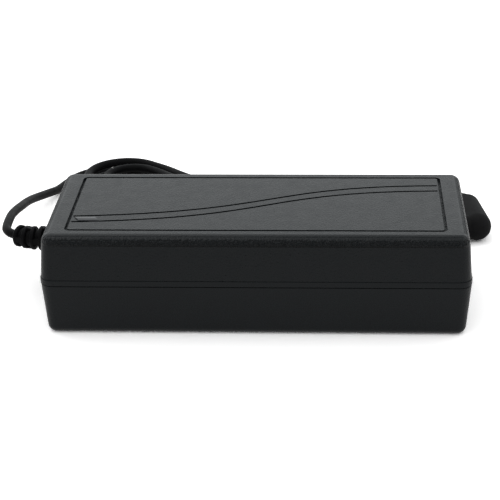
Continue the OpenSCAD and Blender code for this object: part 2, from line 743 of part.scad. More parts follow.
module bridge_rectifier() color([0.12, 0.12, 0.12]) {
  bridge_lift = 2;
  lead_in = 2;
  pitch = (bridge_w - 2 * lead_in) / 3;
  x = column_c - bridge_w;
  translate([x, heat_y - bridge_t, board_top + bridge_lift]) cube([bridge_w, bridge_t, bridge_h]);
  for (i = [0:3]) translate([x + lead_in + i * pitch, heat_y - bridge_t / 2, board_top])
    cylinder(h = bridge_lift + 1, d = lead_d);
}

// The storage capacitor lies across the board, its crimped end at the front
module bulk_capacitor() color([0.12, 0.18, 0.4]) {
  crimp = 3;
  groove = 0.7;
  translate([column_c - bulk_d / 2, front_y, board_top + bulk_d / 2]) rotate([-90, 0, 0])
    can(bulk_d, bulk_l, crimp, groove);
}

module primary_heatsink() color([0.75, 0.76, 0.78])
  heatsink(column_d - to220_w - 2 * heat_margin, column_c);

module switching_transistor() color([0.1, 0.1, 0.1])
  translate([column_d - heat_margin - to220_w / 2, heat_y, board_top]) power_package();

module controller_chip() color([0.08, 0.08, 0.08])
  translate([column_d - chip_l, front_y + chip_room, board_top]) cube([chip_l, chip_w, chip_h]);

module optocoupler() color([0.9, 0.9, 0.88])
  translate([column_e + comp_gap, front_y + chip_room, board_top]) cube([chip_l / 2, chip_w, chip_h]);

module y_capacitor() color([0.2, 0.4, 0.8])
  translate([core_x, core_y - core_t / 2 - winding_out - comp_gap - ycap_d / 2, board_top])
    rotate([0, 0, 90]) standing_disc(ycap_d, ycap_t);

// ---- Transformer ----

module transformer_core() color([0.22, 0.22, 0.23]) translate([core_x, core_y + core_t / 2, board_top])
  rotate([90, 0, 0]) linear_extrude(core_t) difference() {
    translate([-core_l / 2, 0]) square([core_l, core_h]);
    for (x = [-core_mid / 2 - core_window, core_mid / 2])
      translate([x, core_yoke]) square([core_window, core_h - 2 * core_yoke]);
  }

module bobbin_outline(extra) {
  plate(core_mid + 2 * (fit_gap + extra), core_t + 2 * (fit_gap + extra), 0.3 + extra);
}

module transformer_bobbin() color([0.15, 0.15, 0.15])
translate([core_x, core_y, board_top + core_yoke + fit_gap]) {
  h = core_h - 2 * core_yoke - 2 * fit_gap;
  for (z = [0, h - bobbin_t]) translate([0, 0, z]) linear_extrude(bobbin_t) difference() {
    bobbin_outline(bobbin_t + winding_t);
    square([core_mid + 2 * fit_gap, core_t + 2 * fit_gap], center = true);
  }
  linear_extrude(h) difference() {
    bobbin_outline(bobbin_t);
    square([core_mid + 2 * fit_gap, core_t + 2 * fit_gap], center = true);
  }
}

module transformer_windings() color([0.9, 0.75, 0.2])
  translate([core_x, core_y, board_top + core_yoke + fit_gap + bobbin_t])
    linear_extrude(core_h - 2 * (core_yoke + fit_gap + bobbin_t)) difference() {
      bobbin_outline(bobbin_t + winding_t - winding_in);
      bobbin_outline(bobbin_t);
    }

// ---- Output side ----

module secondary_heatsink() color([0.75, 0.76, 0.78]) heatsink(cord_side, column_e);

module output_rectifier() color([0.1, 0.1, 0.1])
  translate([(cord_side + column_e) / 2, heat_y, board_top]) power_package();

module output_capacitors() color([0.1, 0.12, 0.15]) for (i = [0:out_caps - 1]) {
  crimp = 2;
  groove = 0.5;
  translate([column_e - out_cap_d / 2 - i * out_cap_pitch, out_cap_y, board_top])
    can(out_cap_d, out_cap_h, crimp, groove);
}

module at_output_choke() {
  translate([column_e - out_cap_d / 2 - rod_in, rod_y, board_top]) children();
}

module output_choke_core() color([0.3, 0.3, 0.3]) at_output_choke() cylinder(h = rod_h, d = rod_d);

module output_choke_winding() color([0.72, 0.4, 0.2]) at_output_choke() translate([0, 0, rod_wire_in])
difference() {
  cylinder(h = rod_h - 2 * rod_wire_in, d = rod_d + 2 * rod_wire_t);
  translate([0, 0, -over]) cylinder(h = rod_h, d = rod_d);
}

// Two wires from the cord's inner end, bent down to the board
module output_leads() color([0.8, 0.1, 0.1]) {
  straight = 1.2;
  for (y = [-lead_wire_d, lead_wire_d]) translate([relief_inner_x, relief_y + y, lower_h]) {
    rotate([0, 90, 0]) cylinder(h = straight, d = lead_wire_d);
    translate([straight, 0, -lead_bend_r]) rotate([90, 0, 0]) rotate_extrude(angle = 90)
      translate([lead_bend_r, 0]) circle(d = lead_wire_d);
    translate([straight + lead_bend_r, 0, board_top - lower_h])
      cylinder(h = lower_h - board_top - lead_bend_r, d = lead_wire_d);
  }
}

// ---- Strain relief and cord ----

// Places its children so far along the strain relief, with +Z along it
module at_relief(s) {
  bend = min(relief_bend, max(0, s - relief_straight) / relief_bend_r * 180 / PI);
  translate(relief_root) rotate([0, 0, -relief_turn])
    translate([-min(s, relief_straight), relief_bend_r, 0]) rotate([0, 0, -bend])
      translate([0, -relief_bend_r, 0]) rotate([0, -90, 0]) children();
}

// A disc with both its edges bevelled
module relief_ring(r) {
  edge = relief_ring_edge;
  rotate_extrude() polygon([
    [0, 0], [r - edge, 0], [r, edge], [r, relief_ring_w - edge], [r - edge, relief_ring_w], [0, relief_ring_w]
  ]);
}

// Rings joined by pairs of webs, each pair a quarter turn on from the last
module strain_relief() color([0.1, 0.1, 0.1]) {
  translate([-case_l / 2 + relief_seat, relief_y, lower_h]) rotate([0, 90, 0])
    cylinder(h = relief_flange_t, d = relief_flange_d);
  translate([-case_l / 2 - relief_step, relief_y, lower_h]) rotate([0, 90, 0])
    cylinder(h = relief_step + relief_seat + relief_flange_t, r = relief_hole_r);
  at_relief(0) cylinder(h = relief_start + relief_ring_w / 2, d = relief_core_d);
  at_relief(relief_l - relief_tip_l) cylinder(h = relief_tip_l, r1 = relief_core_d / 2, r2 = relief_tip_r);
  for (i = [0:relief_rings - 1]) at_relief(relief_start + i * relief_pitch)
    relief_ring(relief_d / 2 - i * relief_taper / 2);
  for (i = [1:relief_rings - 1])
    at_relief(relief_start + i * relief_pitch + (relief_ring_w - relief_pitch) / 2) {
      cylinder(h = relief_pitch - relief_ring_w / 2, d = relief_core_d, center = true);
      rotate(90 * (i + 1))
        cube([relief_d - (i + 1) * relief_taper, relief_web, relief_pitch], center = true);
    }
}

module dc_cord_lead() color([0.08, 0.08, 0.08]) {
  points = smooth(lead_route, tube_steps);
  echo(lead_length = path_length(points));
  tube(points, cord_r, tube_sides);
}

module dc_cord_hank() color([0.08, 0.08, 0.08]) {
  points = hank_path();
  echo(hank_length = path_length(points), hank_self_gap = self_gap(points, cord_d, 4));
  tube(points, cord_r, hank_sides);
}

module dc_cord_tail() color([0.08, 0.08, 0.08]) {
  points = smooth(tail_route, tube_steps);
  echo(tail_length = path_length(points));
  tube(points, cord_r, tube_sides);
}

// The tie goes round both sides of the hank and leans as its layers do
module cord_tie() color([0.06, 0.06, 0.06]) {
  slack = tiny + hank_step / 8;
  far = hank_radius(0) + cord_r + slack;
  near = -hank_radius(hank_end - 0.625) - cord_r - slack;
  end_u = tie_u + tie_w / 2;
  draw_low = hank_waist * hank_bow(end_u);
  draw_high = hank_waist * hank_bow(end_u - len(climbs) * hank_lean[0]);
  lean = len(climbs) * hank_lean[1];
  low = [near + draw_low, far - draw_low];
  high = [near + draw_high + lean, far - draw_high + lean];
  bottom = tie_t + tie_gap;
  top = rest_z + hank_lift + hank_layer * len(climbs) + cord_r + tie_gap;
  translate([hank_place[0], hank_place[1], 0]) rotate([0, 0, hank_turn])
    translate([tie_u - tie_w / 2, 0, 0]) rotate([90, 0, 90]) linear_extrude(tie_w) difference() {
      leaning_outline(low, high, bottom, top, tie_t);
      leaning_outline(low, high, bottom, top, 0);
    }
}

// A leaning box's outline, its two sides given at the foot and at the top, grown by so much
module leaning_outline(low, high, bottom, top, out) {
  cut = cord_r;
  polygon([
    [low[1] - cut, bottom - out], [low[1] + out, bottom + cut],
    [high[1] + out, top - cut], [high[1] - cut, top + out],
    [high[0] + cut, top + out], [high[0] - out, top - cut],
    [low[0] - out, bottom + cut], [low[0] + cut, bottom - out]
  ]);
}

// ---- Plug ----

// Places its children with +X along the grip, away from its head
module at_plug() {
  translate(plug_head) rotate([0, 0, plug_turn]) children();
}

// Places its children with +Z along the barrel, away from the grip
module at_barrel() {
  at_plug() rotate([-90, 0, 0]) children();
}

module plug_grip() color([0.13, 0.13, 0.13]) {
  r = grip_d / 2;
  profile = concat(
    [for (i = [0:edge_steps]) r * [sin(90 * i / edge_steps), -cos(90 * i / edge_steps)]],
    [for (i = [0:edge_steps]) let (a = 90 * i / edge_steps)
      [r - grip_edge_r, grip_l - grip_edge_r] + grip_edge_r * unit2(a)],
    [[0, grip_l]]
  );
  difference() {
    union() {
      at_plug() rotate([0, 90, 0]) rotate_extrude() polygon(profile);
      at_barrel() cylinder(h = collar_l, d = collar_d);
      at_plug() translate([grip_l - over, 0, 0]) rotate([0, 90, 0]) cylinder(h = over, r = plug_relief_core);
      at_plug() translate([grip_l, plug_relief_r, 0]) rotate([0, 0, -90]) {
        rotate_extrude(angle = plug_relief_angle) translate([plug_relief_r, 0]) circle(plug_relief_core);
        for (i = [1:plug_rings]) rotate([0, 0, plug_relief_angle * i / plug_rings])
          translate([plug_relief_r, 0, 0]) rotate([90, 0, 0])
            cylinder(h = plug_ring_w, r = plug_ring_r - i * plug_ring_taper, center = true);
        rotate([0, 0, plug_relief_angle]) translate([plug_relief_r, 0, 0]) rotate([-90, 0, 0])
          cylinder(h = plug_relief_tip, r1 = plug_relief_core, r2 = cord_r + 0.4);
      }
    }
    at_barrel() translate([0, 0, collar_l / 2]) cylinder(h = collar_l, d = barrel_root_d);
  }
}

module plug_barrel() color([0.75, 0.76, 0.78]) at_barrel() translate([0, 0, collar_l / 2]) difference() {
  union() {
    cylinder(h = barrel_end - collar_l / 2, d = barrel_d);
    cylinder(h = collar_l / 2, d = barrel_root_d);
  }
  translate([0, 0, -over]) cylinder(h = barrel_end + 2 * over, d = barrel_d - 2 * barrel_t);
}

module plug_insulator() color([0.12, 0.12, 0.12]) at_barrel() translate([0, 0, collar_l / 2]) difference() {
  cylinder(h = barrel_end - collar_l / 2, d = barrel_d - 2 * barrel_t);
  translate([0, 0, -over]) cylinder(h = barrel_end + 2 * over, d = pin_hole_d + 2 * contact_t);
}

module plug_contact() color([0.8, 0.7, 0.4]) at_barrel() translate([0, 0, collar_l / 2]) difference() {
  cylinder(h = barrel_end - collar_l / 2 - 1, d = pin_hole_d + 2 * contact_t);
  translate([0, 0, 1]) cylinder(h = barrel_end + over, d = pin_hole_d);
}

top_cover();
bottom_cover();
indicator_window();
indicator_lamp();
inlet_body();
inlet_blades();
insulation_sheet();
circuit_board();
mains_fuse();
surge_varistor();
inrush_thermistor();
x_capacitor();
filter_choke_core();
filter_choke_windings();
bridge_rectifier();
bulk_capacitor();
primary_heatsink();
switching_transistor();
controller_chip();
optocoupler();
y_capacitor();
transformer_core();
transformer_bobbin();
transformer_windings();
secondary_heatsink();
output_rectifier();
output_capacitors();
output_choke_core();
output_choke_winding();
output_leads();
strain_relief();
dc_cord_lead();
dc_cord_hank();
dc_cord_tail();
cord_tie();
plug_grip();
plug_barrel();
plug_insulator();
plug_contact();
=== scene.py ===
import json
import math

import bmesh
import bpy
from mathutils import Matrix, Vector


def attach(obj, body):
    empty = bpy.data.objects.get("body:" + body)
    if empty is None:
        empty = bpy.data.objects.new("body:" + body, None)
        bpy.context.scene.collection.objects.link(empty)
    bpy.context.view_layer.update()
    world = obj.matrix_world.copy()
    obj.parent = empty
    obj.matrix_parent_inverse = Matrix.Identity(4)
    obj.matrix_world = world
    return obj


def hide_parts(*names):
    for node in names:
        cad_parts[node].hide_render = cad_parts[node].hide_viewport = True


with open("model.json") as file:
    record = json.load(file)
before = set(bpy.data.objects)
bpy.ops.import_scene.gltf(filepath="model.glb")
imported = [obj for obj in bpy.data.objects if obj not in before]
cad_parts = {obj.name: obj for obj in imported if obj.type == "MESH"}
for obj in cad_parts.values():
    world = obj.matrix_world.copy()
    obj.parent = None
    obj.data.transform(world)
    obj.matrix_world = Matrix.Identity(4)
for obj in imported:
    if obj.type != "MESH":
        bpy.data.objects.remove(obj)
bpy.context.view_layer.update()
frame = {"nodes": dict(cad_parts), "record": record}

SCENE = bpy.context.scene
MM = 0.001
WHITE = (1, 1, 1)

# ---- Camera ----

PICTURE_PX = 500
FOCAL_PX = 1629.44
SENSOR_MM = 36.0
CAMERA_PLACE = MM * Vector((24.618, -469.067, 222.485))
CAMERA_NEAR = 0.01

# Downwards, to the right, and anticlockwise about the line of sight
PITCH = math.radians(23.676)
YAW = math.radians(-3.338)
ROLL = math.radians(-1.113)


def link(name, data):
    obj = bpy.data.objects.new(name, data)
    SCENE.collection.objects.link(obj)
    return obj


def add_camera():
    forward = Vector((
        math.sin(YAW) * math.cos(PITCH), math.cos(YAW) * math.cos(PITCH), -math.sin(PITCH)
    ))
    level = forward.cross(Vector((0, 0, 1))).normalized()
    upright = level.cross(forward)
    right = math.cos(ROLL) * level + math.sin(ROLL) * upright
    up = math.cos(ROLL) * upright - math.sin(ROLL) * level
    data = bpy.data.cameras.new("camera")
    data.sensor_width = SENSOR_MM
    data.lens = FOCAL_PX * SENSOR_MM / PICTURE_PX
    data.clip_start = CAMERA_NEAR
    camera = link("camera", data)
    turn = Matrix((right, up, -forward)).transposed().to_4x4()
    camera.matrix_world = Matrix.Translation(CAMERA_PLACE) @ turn
    SCENE.camera = camera


add_camera()

# ---- The cord's route, the same as in the solids, in millimetres ----

CASE_L = 130.0
CASE_W = 56.0
LOWER_H = 16.6
UPPER_H = 15.8

CORD_D = 3.0
CORD_R = CORD_D / 2
FLOOR_GAP = 0.05

# Strain relief: straight out of the case's left end, then a bend towards the back
RELIEF_Y = 8.2
RELIEF_L = 14.3
RELIEF_STRAIGHT = 6.5
RELIEF_TIP_L = 1.2
RELIEF_TURN = math.radians(4)
RELIEF_BEND = math.radians(26)

# Plug: the middle of its domed head, the way its grip runs, and its own bent strain relief
GRIP_D = 9.8
GRIP_L = 18.8
PLUG_HEAD = Vector((72.3, 47.5, GRIP_D / 2))
PLUG_TURN = math.radians(98.3)
PLUG_RELIEF_R = 6.5
PLUG_RELIEF_TIP_L = 2.5
PLUG_RELIEF_BEND = math.radians(75)

# Hank: loops that spiral in and out, a layer higher each time the spiral turns back
HANK_PLACE = Vector((-38.4, 66.9, 0))
HANK_TURN = math.radians(-39.4)
HANK_INNER_R = 8.5
HANK_STEP = 3.85
HANK_HALF_RUN = 18.6
HANK_WAIST = 3.0
HANK_LAYER = 3.6
HANK_LEAN = (2.4, -0.6)
HANK_LIFT = 0.9

# A turn starts at the middle of its far run. Each run and each fold takes a quarter of it.
QUARTER = 0.25
EIGHTH = QUARTER / 2
HANK_START = -EIGHTH
HANK_END = 6 + EIGHTH
INNER_REVERSALS = (1.5, 4.5)
CLIMBS = (1.5, 3.0, 4.5)

# Points of the curve in each turn of the hank, and in each stretch between two route points
TURN_STEPS = 96
STRETCH_STEPS = 6


def flat_way(angle):
    return Vector((math.cos(angle), math.sin(angle), 0))


def left_of(way):
    return Vector((-way.y, way.x, 0))


def bent_sleeve(root, out, side, straight, bend_r, bend, tip_l):
    """Where a sleeve ends, and which way, that runs straight, bends to one side and runs on to its tip."""
    way = math.cos(bend) * out + math.sin(bend) * side
    end = (
        root + (straight + bend_r * math.sin(bend)) * out
        + bend_r * (1 - math.cos(bend)) * side + tip_l * way
    )
    return end, way


def ease(x):
    x = min(1.0, max(0.0, x))
    return x * x * (3 - 2 * x)


def hank_bow(u):
    """How much of the waist's draw applies, so far along the hank."""
    return math.cos(math.pi / 2 * u / HANK_HALF_RUN) ** 2 if abs(u) < HANK_HALF_RUN else 0.0


def hank_point(t):
    """The cord's middle after t turns: along the far side, round the near fold, back, round the far fold."""
    r = HANK_INNER_R + HANK_STEP * min(abs(t - reversal) for reversal in INNER_REVERSALS)
    half_run = HANK_HALF_RUN + r - HANK_INNER_R
    phase = t - math.floor(t + EIGHTH)
    bow = 0.0
    if phase < EIGHTH:
        u = half_run * phase / EIGHTH
        bow = hank_bow(u)
        v = r - HANK_WAIST * bow
    elif phase < EIGHTH + QUARTER:
        angle = math.pi / 2 - math.pi * (phase - EIGHTH) / QUARTER
        u = half_run + r * math.cos(angle)
        v = r * math.sin(angle)
    elif phase < EIGHTH + 2 * QUARTER:
        u = half_run * (2 * QUARTER - phase) / EIGHTH
        bow = hank_bow(u)
        v = HANK_WAIST * bow - r
    else:
        angle = -math.pi / 2 - math.pi * (phase - EIGHTH - 2 * QUARTER) / QUARTER
        u = r * math.cos(angle) - half_run
        v = r * math.sin(angle)
    layers = sum(ease((t - climb + EIGHTH) / QUARTER) for climb in CLIMBS)
    u += HANK_LEAN[0] * layers
    v += HANK_LEAN[1] * layers
    z = CORD_R + FLOOR_GAP + HANK_LIFT * bow + HANK_LAYER * layers
    return HANK_PLACE + u * HANK_WAY + v * left_of(HANK_WAY) + Vector((0, 0, z))


def through(p0, p1, p2, p3, s):
    """The place a share s of the way from p1 to p2, on a smooth line through all four points."""
    return 0.5 * (
        2 * p1 + (p2 - p0) * s + (2 * p0 - 5 * p1 + 4 * p2 - p3) * s * s
        + (3 * p1 - p0 - 3 * p2 + p3) * s ** 3
    )


def smooth(route):
    """A smooth line through the points of a route, whose first and last stretches are straight."""
    route = [Vector(point) for point in route]
    points = [route[0]]
    for i in range(1, len(route) - 2):
        points += [through(*route[i - 1:i + 3], k / STRETCH_STEPS) for k in range(STRETCH_STEPS)]
    return points + route[-2:]


RELIEF_OUT = Vector((-math.cos(RELIEF_TURN), math.sin(RELIEF_TURN), 0))
RELIEF_SIDE = Vector((math.sin(RELIEF_TURN), math.cos(RELIEF_TURN), 0))
RELIEF_TIP, RELIEF_WAY = bent_sleeve(
    Vector((-CASE_L / 2, RELIEF_Y, LOWER_H)), RELIEF_OUT, RELIEF_SIDE, RELIEF_STRAIGHT,
    (RELIEF_L - RELIEF_TIP_L - RELIEF_STRAIGHT) / RELIEF_BEND, RELIEF_BEND, RELIEF_TIP_L
)
PLUG_WAY = flat_way(PLUG_TURN)
PLUG_CORD_END, PLUG_RELIEF_WAY = bent_sleeve(
    PLUG_HEAD, PLUG_WAY, left_of(PLUG_WAY), GRIP_L, PLUG_RELIEF_R, PLUG_RELIEF_BEND, PLUG_RELIEF_TIP_L
)
HANK_WAY = flat_way(HANK_TURN)
HANK_IN = hank_point(HANK_START)
HANK_OUT = hank_point(HANK_END)
LEAD = [
    RELIEF_TIP, RELIEF_TIP + CORD_R * RELIEF_WAY,
    (-81.6, 13.2, 16.6), (-83, 15.8, 16.6), (-83.6, 19.5, 16.4), (-84, 25, 16), (-84.5, 32, 15),
    (-84.5, 40, 13.5), (-84.5, 49, 11.3), (-84.5, 57.5, 9.2), (-84, 66, 7), (-82.5, 74, 5),
    (-80.5, 81.5, 3.3), (-78.5, 88, 2), (-76.5, 95, 1.6), (-73.5, 102, 1.6), (-68.5, 107, 1.6),
    (-62.5, 108, 1.6), (-57, 105, 1.6), HANK_IN - 3 * CORD_R * HANK_WAY, HANK_IN - CORD_D * HANK_WAY,
]
TAIL = [
    HANK_OUT + CORD_D * HANK_WAY, HANK_OUT + 3 * CORD_R * HANK_WAY,
    (2.4, 50.2, 11.4), (7.8, 47.4, 9), (13.8, 46.2, 5.8), (20.2, 47.2, 3), (26.8, 50.6, 1.7),
    (33.2, 55.4, 1.6), (39.4, 60.9, 1.6), (45.5, 66.6, 1.6), (50.8, 70.7, 2.9), (55.6, 72.4, 4.4),
    PLUG_CORD_END + CORD_R * PLUG_RELIEF_WAY, PLUG_CORD_END,
]


def cord_points():
    steps = round((HANK_END - HANK_START) * TURN_STEPS)
    hank = [hank_point(HANK_START + i / TURN_STEPS) for i in range(steps + 1)]
    return smooth(LEAD) + hank + smooth(TAIL)


# ---- Shader nodes ----

def add_node(tree, kind, **inputs):
    node = tree.nodes.new(kind)
    for name, value in inputs.items():
        node.inputs[name.replace("_", " ")].default_value = value
    return node


def joined(tree, kind, a, b):
    """A new node whose first two inputs are fed by a and b."""
    node = tree.nodes.new(kind)
    tree.links.new(a, node.inputs[0])
    tree.links.new(b, node.inputs[1])
    return node


def combined(tree, operation, a, b):
    maths = joined(tree, "ShaderNodeMath", a, b)
    maths.operation = operation
    return maths.outputs[0]


def added_shaders(tree, a, b):
    return joined(tree, "ShaderNodeAddShader", a, b).outputs[0]


def chosen_shader(tree, factor, when_0, when_1):
    mix = joined(tree, "ShaderNodeMixShader", factor, when_0)
    tree.links.new(when_1, mix.inputs[2])
    return mix.outputs[0]


def coordinate(tree, space, axis):
    place = tree.nodes.new("ShaderNodeTexCoord")
    split = tree.nodes.new("ShaderNodeSeparateXYZ")
    tree.links.new(place.outputs[space], split.inputs[0])
    return split.outputs[axis]


def ray(tree, kind):
    return tree.nodes.new("ShaderNodeLightPath").outputs[kind]


def ramp(tree, source, low, high, start=0.0, end=1.0):
    """Runs from low to high while the source runs from start to end."""
    node = add_node(tree, "ShaderNodeMapRange", From_Min=start, From_Max=end, To_Min=low, To_Max=high)
    tree.links.new(source, node.inputs["Value"])
    return node.outputs["Result"]


def band(tree, axis, rise_start, rise_end, fall_start, fall_end):
    """1 at places inside the band along the object's axis, 0 beyond it."""
    along = coordinate(tree, "Object", axis)
    rise = ramp(tree, along, 0, 1, rise_start, rise_end)
    fall = ramp(tree, along, 1, 0, fall_start, fall_end)
    return combined(tree, "MULTIPLY", rise, fall)


def mixed_colours(tree, factor, colour_0, colour_1):
    mix = tree.nodes.new("ShaderNodeMix")
    mix.data_type = "RGBA"
    mix.inputs["A"].default_value = (*colour_0, 1)
    mix.inputs["B"].default_value = (*colour_1, 1)
    tree.links.new(factor, mix.inputs["Factor"])
    return mix.outputs["Result"]


def object_noise(tree, scale, detail, roughness):
    place = tree.nodes.new("ShaderNodeTexCoord")
    noise = add_node(tree, "ShaderNodeTexNoise", Scale=scale, Detail=detail, Roughness=roughness)
    tree.links.new(place.outputs["Object"], noise.inputs["Vector"])
    return noise.outputs["Fac"]


# ---- Materials ----

NOISE_RANGE = (0.3, 0.7)
ROUGHNESS_SPREAD = 0.06


def shader_of(material):
    return material.node_tree.nodes["Principled BSDF"]


def surface(name, colour, roughness, scale=400, spread=0.15, metallic=0.0, specular=0.5):
    """A material whose colour and roughness vary a little from place to place."""
    material = bpy.data.materials.new(name)
    material.use_nodes = True
    tree = material.node_tree
    shader = shader_of(material)
    shader.inputs["Metallic"].default_value = metallic
    shader.inputs["Specular IOR Level"].default_value = specular
    noise = object_noise(tree, scale, detail=3.0, roughness=0.6)
    dark = [c * (1 - spread) for c in colour]
    light = [min(1.0, c * (1 + spread)) for c in colour]
    shade = mixed_colours(tree, ramp(tree, noise, 0, 1, *NOISE_RANGE), dark, light)
    tree.links.new(shade, shader.inputs["Base Color"])
    sheen = ramp(tree, noise, roughness - ROUGHNESS_SPREAD, roughness + ROUGHNESS_SPREAD, *NOISE_RANGE)
    tree.links.new(sheen, shader.inputs["Roughness"])
    return material


def add_relief(material, height, depth):
    """Gives the material a relief, on top of any that it has."""
    tree = material.node_tree
    bump = add_node(tree, "ShaderNodeBump", Strength=1.0, Distance=depth)
    normal = shader_of(material).inputs["Normal"]
    if normal.is_linked:
        tree.links.new(normal.links[0].from_socket, bump.inputs["Normal"])
    tree.links.new(height, bump.inputs["Height"])
    tree.links.new(bump.outputs["Normal"], normal)


def grained(material, grain, depth):
    """The material with an even grain. A higher grain number is finer."""
    add_relief(material, object_noise(material.node_tree, grain, detail=2.0, roughness=0.5), depth)
    return material


# The case's rounded top edge has a coarser grain. What lies just below the top, across the panel's
# width, as the grooves do, gets a lower specular level: painted shade that darkens the grooves.
CASE_TOP = (LOWER_H + UPPER_H) * MM
CASE_SPECULAR = 0.25
EDGE_GRAIN_SCALE = 1300
EDGE_GRAIN_DEPTH = 2 * MM
EDGE_BAND = (CASE_TOP - 3.2 * MM, CASE_TOP - 2.6 * MM, CASE_TOP - 1.1 * MM, CASE_TOP - 0.5 * MM)
# Specular level and height band of the painted shade in the grooves
GROOVE_SHADE_SPECULAR = 0.05
GROOVE_SHADE_BAND = (CASE_TOP - 0.9 * MM, CASE_TOP - 0.7 * MM, CASE_TOP - 0.2 * MM, CASE_TOP - 0.1 * MM)
PANEL_INSET = 5.0
PANEL_EDGE = (CASE_W / 2 - PANEL_INSET) * MM
PANEL_FADE = 0.1 * MM


def case_plastic():
    material = grained(
        surface("case_plastic", (0.001, 0.0024, 0.0034), 0.27, scale=250, specular=CASE_SPECULAR),
        grain=1700, depth=0.1 * MM
    )
    tree = material.node_tree
    coarse = object_noise(tree, EDGE_GRAIN_SCALE, detail=1.0, roughness=0.5)
    edge = combined(tree, "MULTIPLY", coarse, band(tree, "Z", *EDGE_BAND))
    add_relief(material, edge, EDGE_GRAIN_DEPTH)
    panel = band(tree, "Y", -PANEL_EDGE - PANEL_FADE, -PANEL_EDGE, PANEL_EDGE, PANEL_EDGE + PANEL_FADE)
    # Painted shade: the grooves' band across the panel loses its gloss, so the grooves read dark
    groove_shade = combined(tree, "MULTIPLY", band(tree, "Z", *GROOVE_SHADE_BAND), panel)
    specular = ramp(tree, groove_shade, CASE_SPECULAR, GROOVE_SHADE_SPECULAR)
    tree.links.new(specular, shader_of(material).inputs["Specular IOR Level"])
    return material


MATERIALS = {
    "case": case_plastic(),
    "window": surface("window_plastic", (0.04, 0.042, 0.045), 0.14, scale=600, specular=0.3),
    "lamp": surface("lamp_resin", (0.35, 0.6, 0.35), 0.15, scale=900),
    "moulding": grained(
        surface("moulded_vinyl", (0.011, 0.011, 0.0115), 0.6, scale=500, specular=0.05),
        grain=3500, depth=0.02 * MM
    ),
    "contact": surface("nickel_plate", (0.72, 0.71, 0.68), 0.22, scale=1500, metallic=1.0, spread=0.05),
    "sheet": surface("insulating_sheet", (0.62, 0.58, 0.4), 0.5, scale=300),
    "board": grained(
        surface("board_laminate", (0.03, 0.13, 0.05), 0.4, scale=700), grain=5000, depth=0.01 * MM
    ),
    "component_dark": grained(
        surface("dark_epoxy", (0.02, 0.02, 0.021), 0.5, scale=900), grain=6000, depth=0.01 * MM
    ),
    "component_blue": surface("blue_coating", (0.03, 0.07, 0.3), 0.25, scale=500),
    "component_green": surface("green_coating", (0.02, 0.14, 0.05), 0.25, scale=500),
    "component_yellow": surface("yellow_tape", (0.7, 0.48, 0.05), 0.4, scale=300),
    "component_white": surface("white_epoxy", (0.75, 0.75, 0.72), 0.45, scale=500, spread=0.05),
    "ferrite": grained(
        surface("ferrite", (0.05, 0.05, 0.055), 0.6, scale=900), grain=4000, depth=0.02 * MM
    ),
    "copper_wire": surface("enamelled_copper", (0.6, 0.22, 0.08), 0.3, scale=900, metallic=0.9),
    "heatsink": surface("rolled_aluminium", (0.7, 0.71, 0.72), 0.35, scale=300, metallic=1.0, spread=0.05),
    "lead_insulation": surface("red_vinyl", (0.45, 0.02, 0.015), 0.4, scale=500),
    "cord_jacket": grained(
        surface("cord_vinyl", (0.004, 0.004, 0.0045), 0.5, scale=350, specular=0.07),
        grain=1800, depth=0.02 * MM
    ),
}
SLOT_OF = {part["node"]: part["material_slot"] for part in frame["record"]["subparts"]}


def set_material(obj, material):
    obj.data.materials.clear()
    obj.data.materials.append(material)


for node_name, node_object in frame["nodes"].items():
    set_material(node_object, MATERIALS[SLOT_OF[node_name]])

# ---- Pieces ----

# Widths of the broken edges, in millimetres, of the pieces on the cord and of the others
CORD_PIECES = {
    "strain_relief": 0.15,
    "cord_tie": 0.08,
    "plug_grip": 0.15,
    "plug_barrel": 0.05,
    "plug_insulator": 0.05,
    "plug_contact": 0.04,
}
CASE_PIECES = {
    "top_cover": 0.18,
    "bottom_cover": 0.1,
    "indicator_window": 0.12,
    "inlet_body": 0.15,
    "inlet_blades": 0.25,
}
EDGE_SEGMENTS = 2
SHARP_ANGLE = math.radians(32)
FLAT_ANGLE = math.radians(0.4)
WELD_DISTANCE = 0.002 * MM
CORD_ROUNDNESS = 5


def set_on_body(obj, slot, *nodes):
    """Dresses a piece, fixes it to the one body, and lets it stand for the nodes."""
    set_material(obj, MATERIALS[slot])
    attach(obj, "root")
    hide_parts(*nodes)


def smooth_curves(mesh):
    """Joins the faces that lie flat together, and shades smooth all but the sharp edges."""
    bm = bmesh.new()
    bm.from_mesh(mesh)
    bmesh.ops.remove_doubles(bm, verts=bm.verts, dist=WELD_DISTANCE)
    bmesh.ops.dissolve_limit(bm, angle_limit=FLAT_ANGLE, verts=bm.verts, edges=bm.edges)
    for face in bm.faces:
        face.smooth = True
    for edge in bm.edges:
        edge.smooth = len(edge.link_faces) == 2 and edge.calc_face_angle(0) < SHARP_ANGLE
    bm.to_mesh(mesh)
    bm.free()


def break_edges(obj, width):
    """Bevels the sharp edges, and turns the modifiers into mesh."""
    bevel = obj.modifiers.new("edges", "BEVEL")
    bevel.width = width
    bevel.segments = EDGE_SEGMENTS
    bevel.limit_method = "ANGLE"
    bevel.angle_limit = SHARP_ANGLE
    obj.modifiers.new("normals", "WEIGHTED_NORMAL")
    graph = bpy.context.evaluated_depsgraph_get()
    mesh = bpy.data.meshes.new_from_object(obj.evaluated_get(graph))
    obj.modifiers.clear()
    obj.data = mesh


def finished(node, edge_mm):
    """The node's own shape with its edges broken and its curves shaded smooth."""
    mesh = frame["nodes"][node].data.copy()
    obj = link(node + "_finished", mesh)
    smooth_curves(mesh)
    break_edges(obj, edge_mm * MM)
    set_on_body(obj, SLOT_OF[node], node)
    return obj


